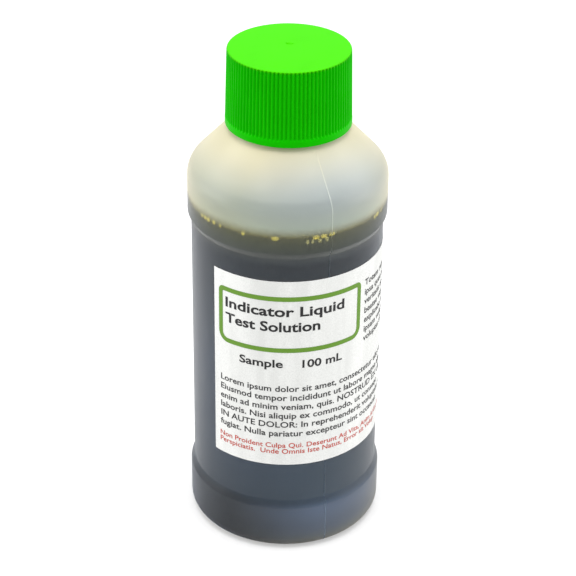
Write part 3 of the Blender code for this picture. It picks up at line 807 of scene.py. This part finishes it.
def makeCap(material):
    s = {k: v * mm for k, v in capSet.items() if isinstance(v, float)}
    foot = capHigh.x - s["bandProud"]
    head = foot - s["taper"]
    top = capHigh.z
    ribTop = top - s["ribTopMargin"]
    ribFoot = capLow.z + s["bandHeight"]
    # one rib is spun and grooved, and the rest are turned copies of it
    pitchAngle = 2 * math.pi / capSet["ribs"]
    bm = bmesh.new()
    verts = [bm.verts.new((p.x, 0.0, p.y)) for p in capOutline(s, head, foot)]
    edges = [bm.edges.new(pair) for pair in zip(verts, verts[1:])]
    bmesh.ops.spin(
        bm, geom=verts + edges, cent=(0, 0, 0), axis=(0, 0, 1),
        angle=pitchAngle, steps=capSet["columnsPerRib"],
    )
    for vert in bm.verts:
        radius = math.hypot(vert.co.x, vert.co.y)
        if radius < head - s["edgeBend"] or vert.co.z < ribFoot:
            continue
        wave = 0.5 - 0.5 * math.cos(capSet["ribs"] * math.atan2(vert.co.y, vert.co.x))
        footShare = softStep((vert.co.z - ribFoot) / s["ribFootFade"])
        headShare = softStep((ribTop - vert.co.z) / s["ribTopFade"])
        groove = s["ribDepth"] * (footShare * headShare) * wave ** 1.5
        vert.co.x *= (radius - groove) / radius
        vert.co.y *= (radius - groove) / radius
    bmesh.ops.spin(
        bm, geom=bm.verts[:] + bm.edges[:] + bm.faces[:], cent=(0, 0, 0), axis=(0, 0, 1),
        angle=2 * math.pi - pitchAngle, steps=capSet["ribs"] - 1, use_duplicate=True,
    )
    bmesh.ops.remove_doubles(bm, verts=bm.verts[:], dist=weldReach)
    bmesh.ops.recalc_face_normals(bm, faces=bm.faces[:])
    shell = addPiece(bm, "capShell", material, "cap", ["cap"], sharpAngle=60)
    lag = bottleSet["threadTurns"] + capSet["threadLag"]
    start = lipHeight - bottleSet["threadDrop"] * mm - lag * threadSet["pitch"] * mm
    crest = bottleSet["neckRadius"] * mm + s["threadClear"]
    turns = capSet["threadTurns"]
    ridge = threadRidge(s["boreRadius"], crest, s["threadRoot"], s["threadCrest"], start, turns)
    addPiece(ridge, "capThread", material, "cap")
    # the moulding gate's torn-off stub, a little off centre
    bm = bmesh.new()
    shape = Matrix.Diagonal((s["gateWidth"], s["gateDepth"], 2 * s["gateHeight"], 1))
    bmesh.ops.create_icosphere(bm, subdivisions=4, radius=0.5, matrix=shape)
    for vert in bm.verts:
        torn = noise.noise(vert.co / s["gateGrain"])
        for axis, tear in enumerate(capSet["gateTear"]):
            vert.co[axis] *= 1 + tear * torn
    bmesh.ops.translate(bm, verts=bm.verts[:], vec=(0.0, s["gateReach"], top))
    addPiece(bm, "gateStub", material, "cap", sharpAngle=180)
    print("cap done,", len(shell.data.polygons), "faces")


linerSet = {
    "edgeBend": 0.12, "grooveOuter": 10.4, "grooveInner": 8.8, "grooveSlope": 0.2, "grooveDepth": 0.06,
    "grooveBend": 0.1, "steps": 120,
}


def makeLiner(material):
    # a disc with the faint ring that the plug's rim presses into it
    s = {k: v * mm for k, v in linerSet.items() if isinstance(v, float)}
    radius, top, bottom = linerHigh.x, linerHigh.z, linerLow.z
    pressed = bottom + s["grooveDepth"]
    corners = [
        (0.0, top, 0), (radius, top, s["edgeBend"]), (radius, bottom, s["edgeBend"]),
        (s["grooveOuter"], bottom, s["grooveBend"]),
        (s["grooveOuter"] - s["grooveSlope"], pressed, s["grooveBend"]),
        (s["grooveInner"] + s["grooveSlope"], pressed, s["grooveBend"]),
        (s["grooveInner"], bottom, s["grooveBend"]),
        (0.0, bottom, 0),
    ]
    bm = spinOutline(roundedOutline(corners), linerSet["steps"])
    addPiece(bm, "linerDisc", material, "liner", ["cap_liner"])


plugSet = {
    "flange": 0.8, "rimBend": 0.25, "flangeBend": 0.2, "underBend": 0.15, "wallRadius": 8.4, "length": 6.5,
    "beadRadius": 8.65, "beadShares": (0.3, 0.65), "beadHalf": 0.5, "beadBend": 0.25, "beadFootBend": 0.2,
    "leadIn": 0.25, "leadInHeight": 1.0, "cupRadius": 7.4, "cupBend": 0.5, "edgeBend": 0.3, "floor": 1.2,
    "nozzleBase": 2.5, "nozzleTip": 1.4, "tipBend": 0.25, "orifice": 0.5, "orificeBend": 0.08,
    "orificeLength": 1.6, "dripTube": 1.5, "footBend": 0.2, "recess": 0.4, "steps": 120,
}


def makePlug(material):
    s = {k: v * mm for k, v in plugSet.items() if isinstance(v, float)}
    top, bottom = plugHigh.z, plugLow.z
    under = top - s["flange"]
    rim = plugHigh.x
    wall = s["wallRadius"]
    corners = [
        (s["cupRadius"], top, s["edgeBend"]), (rim, top, s["rimBend"]),
        (rim, under, s["flangeBend"]), (wall, under, s["underBend"]),
    ]
    for share in plugSet["beadShares"]:
        middle = under - s["length"] * share
        corners += [
            (wall, middle + s["beadHalf"], s["beadFootBend"]), (s["beadRadius"], middle, s["beadBend"]),
            (wall, middle - s["beadHalf"], s["beadFootBend"]),
        ]
    tip = top - s["recess"]
    floor = bottom + s["floor"]
    corners += [
        (wall, bottom + s["leadInHeight"], s["edgeBend"]), (wall - s["leadIn"], bottom, s["footBend"]),
        (s["dripTube"], bottom, s["footBend"]), (s["orifice"], tip - s["orificeLength"], s["edgeBend"]),
        (s["orifice"], tip, s["orificeBend"]), (s["nozzleTip"], tip, s["tipBend"]),
        (s["nozzleBase"], floor, s["cupBend"]), (s["cupRadius"], floor, s["cupBend"]),
    ]
    bm = spinOutline(roundedOutline(corners, closed=True), plugSet["steps"], closed=True)
    addPiece(bm, "dropperInsert", material, "bottle", ["dropper_plug"])
    print("liner and plug done")


studioSet = {
    "sweep": 4.0, "floor": ("#bababa", "#c0c0c0"), "fibre": 2.5, "floorGlow": 0.37, "world": 0.66,
    # place, size, power
    "boxes": {
        "overheadSoftbox": ((0.0, 0.05, 1.05), 1.1, 17.0),
        "leftSoftbox": ((-0.75, 0.0, 0.3), 0.6, 2.2),
        "rightSoftbox": ((0.75, 0.0, 0.3), 0.6, 2.0),
    },
    "aim": (0.0, 0.0, 0.06),
}


def whitePaperSweep():
    # matt studio paper. It is exposed to a clean white, without throwing more light on to the bottle
    material, tree, place = newMaterial("whitePaperSweep")
    tint = blendNode(tree, noiseNode(tree, place, studioSet["fibre"] * mm, 2.0), *studioSet["floor"])
    seen = addNode(tree, "ShaderNodeLightPath").outputs["Is Camera Ray"]
    glow = addNode(tree, "ShaderNodeMath", {"operation": "MULTIPLY", 1: studioSet["floorGlow"]}, {0: seen})
    setSurface(tree, addNode(tree, "ShaderNodeBsdfPrincipled", {
        "Roughness": 0.9, "Specular IOR Level": 0.1, "Emission Color": (1.0, 1.0, 1.0, 1.0),
    }, {"Base Color": tint, "Emission Strength": glow.outputs[0]}))
    return material


def makeStudio():
    bm = bmesh.new()
    bmesh.ops.create_grid(bm, x_segments=8, y_segments=8, size=studioSet["sweep"] / 2)
    mesh = bpy.data.meshes.new("studioFloor")
    bm.to_mesh(mesh)
    bm.free()
    mesh.materials.append(whitePaperSweep())
    floor = bpy.data.objects.new("studioFloor", mesh)
    scene.collection.objects.link(floor)

    world = bpy.data.worlds.new("softWhiteRoom")
    world.use_nodes = True
    back = world.node_tree.nodes["Background"]
    back.inputs["Color"].default_value = (1.0, 1.0, 1.0, 1.0)
    back.inputs["Strength"].default_value = studioSet["world"]
    scene.world = world

    for name, (spot, size, power) in studioSet["boxes"].items():
        light = bpy.data.lights.new(name, "AREA")
        light.shape = "SQUARE"
        light.size = size
        light.energy = power
        lamp = bpy.data.objects.new(name, light)
        lamp.location = spot
        lamp.rotation_euler = (Vector(spot) - Vector(studioSet["aim"])).to_track_quat("Z", "Y").to_euler()
        lamp.visible_camera = False
        scene.collection.objects.link(lamp)


cameraSet = {
    "back": 380.25, "height": 278.76, "pitch": 30.334, "yaw": 0.049, "roll": 0.696,
    "lens": 123.21, "sensor": 36.0, "clipStart": 0.01,
}


def makeCamera():
    pitch, yaw, roll = (math.radians(cameraSet[k]) for k in ("pitch", "yaw", "roll"))
    forward = Vector((math.sin(yaw) * math.cos(pitch), math.cos(yaw) * math.cos(pitch), -math.sin(pitch)))
    right = Vector((math.cos(yaw), -math.sin(yaw), 0.0))
    up = right.cross(forward)
    tilted = right * math.cos(roll) + up * math.sin(roll)
    upright = tilted.cross(forward)
    data = bpy.data.cameras.new("camera")
    data.lens = cameraSet["lens"]
    data.sensor_width = cameraSet["sensor"]
    data.clip_start = cameraSet["clipStart"]
    camera = bpy.data.objects.new("camera", data)
    turn = Matrix((tilted, upright, -forward)).transposed().to_4x4()
    spot = (0.0, -cameraSet["back"] * mm, cameraSet["height"] * mm)
    camera.matrix_world = Matrix.Translation(spot) @ turn
    scene.collection.objects.link(camera)
    scene.camera = camera


makeCamera()
makeStudio()
scene.view_settings.view_transform = "Standard"
print("camera and studio done")

makeBottle(naturalPolyethylene(), seamPolyethylene())
films = [foamFilm(name, *tone) for name, tone in liquidSet["films"].items()]
makeSolution(dyeSolution(), dyeSurface(), *films)
makeLabel(coatedPaper())
makePrint({name: printedInk(name, *tones) for name, tones in printSet["inks"].items()})
makeCap(greenPolypropylene())
makeLiner(foamedPolyethylene())
makePlug(softPolyethylene())
